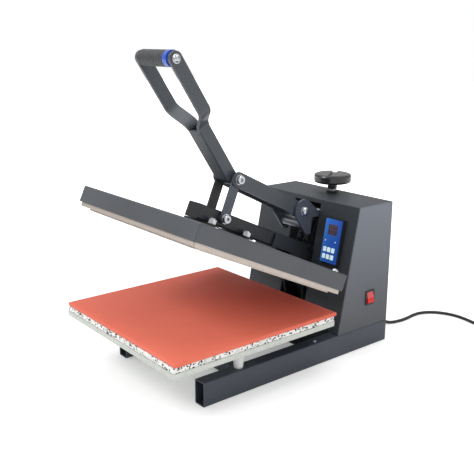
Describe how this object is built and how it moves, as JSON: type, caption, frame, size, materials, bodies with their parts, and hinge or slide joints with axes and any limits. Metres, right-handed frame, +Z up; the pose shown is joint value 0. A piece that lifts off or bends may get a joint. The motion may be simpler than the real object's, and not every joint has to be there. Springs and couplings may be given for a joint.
{
  "type": "heat press",
  "caption": "Clamshell heat press: a heated platen hinged over a padded board, closed by a forked toggle lever, with a rear housing for controls and pressure knob.",
  "frame": {"origin": "centre of the press's footprint on the table, without its cord", "axes": "+X to the operator's right, +Y to the back, where the housing is, +Z up"},
  "size_m": [0.5178, 0.9045, 0.6249],
  "materials": {
    "charcoal_coat": "satin powder coat",
    "dark_coat": "satin powder coat",
    "grey_coat": "satin powder coat",
    "zinc": "bright zinc",
    "mill_aluminium": "mill",
    "foam_board": "speckled bonded foam",
    "silicone": "matt silicone",
    "blanket": "woven glass blanket",
    "standoff": "matt",
    "black_plastic": "fine moulded",
    "grip_foam": "soft foam",
    "blue_band": "gloss",
    "panel_blue": "printed film",
    "window": "tinted window",
    "keys": "satin",
    "circuit": "circuit board",
    "switch_red": "translucent red",
    "spring_steel": "oiled",
    "cord_black": "pvc"
  },
  "bodies": {
    "frame": {"base_rail_left": "charcoal_coat", "base_rail_right": "charcoal_coat", "base_crossbars": "charcoal_coat", "base_plate": "dark_coat", "platen_standoffs": "standoff", "base_screws": "zinc", "lower_platen_plate": "mill_aluminium", "foam_board": "foam_board", "silicone_pad": "silicone", "hinge_brackets": "dark_coat", "hinge_shaft": "zinc", "tower_frame": "zinc", "rocker_pin": "zinc", "screw_bush": "black_plastic", "housing_shell": "charcoal_coat", "rear_cover": "charcoal_coat", "rear_screws": "zinc", "control_box": "black_plastic", "control_overlay": "panel_blue", "control_board": "circuit", "display_window": "window", "switch_bezel": "black_plastic", "cord_gland": "black_plastic", "power_cord": "cord_black", "cord_coil": "cord_black", "plug": "cord_black", "lift_springs": "spring_steel"},
    "platen": {"heating_plate": "mill_aluminium", "insulation_blanket": "blanket", "platen_cover": "charcoal_coat", "platen_studs": "zinc", "platen_nuts": "zinc", "channel_arm": "dark_coat", "arm_cross_plates": "dark_coat", "hinge_plates": "dark_coat", "spring_pin": "zinc"},
    "pressure_rocker": {"rocker_plates": "grey_coat", "rocker_spacer": "zinc", "trunnion_block": "zinc", "lever_pivot_bolt": "zinc"},
    "knob": {"pressure_screw": "zinc", "pressure_knob": "black_plastic"},
    "lever": {"lever_arm": "grey_coat", "handle_bar": "grey_coat", "fork_left": "grey_coat", "fork_right": "grey_coat", "grip_bolt": "zinc", "grip_foam": "grip_foam", "grip_band": "blue_band", "link_upper_bolt": "zinc"},
    "links": {"link_left": "grey_coat", "link_right": "grey_coat", "link_lower_bolts": "zinc"},
    "switch": {"switch_rocker": "switch_red"},
    "key_1": {"button_1": "keys"},
    "key_2": {"button_2": "keys"},
    "key_3": {"button_3": "keys"},
    "key_4": {"button_4": "keys"},
    "key_5": {"button_5": "keys"},
    "key_6": {"button_6": "keys"}
  },
  "joints": [
    {"name": "lever_swing", "type": "hinge", "parent": "pressure_rocker", "child": "lever", "pos_m": [0, 0.138, 0.29341], "axis": [1, 0, 0], "range_deg": [0, 47.23]},
    {"name": "platen_close", "type": "hinge", "parent": "frame", "child": "platen", "pos_m": [0, 0.156, 0.1325], "axis": [1, 0, 0], "range_deg": [0, 24.7], "deforming": ["lift_springs"]},
    {"name": "link_swing", "type": "hinge", "parent": "lever", "child": "links", "pos_m": [0, -0.034, 0.3795], "axis": [1, 0, 0], "range_deg": [-93.9, 0]},
    {"name": "knob_turn", "type": "hinge", "parent": "frame", "child": "knob", "pos_m": [0, 0.26, 0.343], "axis": [0, 0, 1], "range_deg": [0, 360]},
    {"name": "rocker_tilt", "type": "hinge", "parent": "frame", "child": "pressure_rocker", "pos_m": [0, 0.2, 0.283], "axis": [1, 0, 0], "range_deg": [-1.9, 0]},
    {"name": "switch_rock", "type": "hinge", "parent": "frame", "child": "switch", "pos_m": [0.147, 0.229, 0.1125], "axis": [0, 1, 0], "range_deg": [0, 15]},
    {"name": "key_1_press", "type": "slide", "parent": "frame", "child": "key_1", "axis": [0, 0.9815, -0.1913], "range_m": [0, 0.0008], "stiffness_N_per_m": 400},
    {"name": "key_2_press", "type": "slide", "parent": "frame", "child": "key_2", "axis": [0, 0.9815, -0.1913], "range_m": [0, 0.0008], "stiffness_N_per_m": 400},
    {"name": "key_3_press", "type": "slide", "parent": "frame", "child": "key_3", "axis": [0, 0.9815, -0.1913], "range_m": [0, 0.0008], "stiffness_N_per_m": 400},
    {"name": "key_4_press", "type": "slide", "parent": "frame", "child": "key_4", "axis": [0, 0.9815, -0.1913], "range_m": [0, 0.0008], "stiffness_N_per_m": 400},
    {"name": "key_5_press", "type": "slide", "parent": "frame", "child": "key_5", "axis": [0, 0.9815, -0.1913], "range_m": [0, 0.0008], "stiffness_N_per_m": 400},
    {"name": "key_6_press", "type": "slide", "parent": "frame", "child": "key_6", "axis": [0, 0.9815, -0.1913], "range_m": [0, 0.0008], "stiffness_N_per_m": 400}
  ],
  "couplings": [
    {"joint": "platen_close", "follows": "lever_swing", "ratio": 0.52297},
    {"joint": "link_swing", "follows": "lever_swing", "ratio": -1.9873},
    {"joint": "rocker_tilt", "follows": "knob_turn", "ratio": -0.0052}
  ]
}
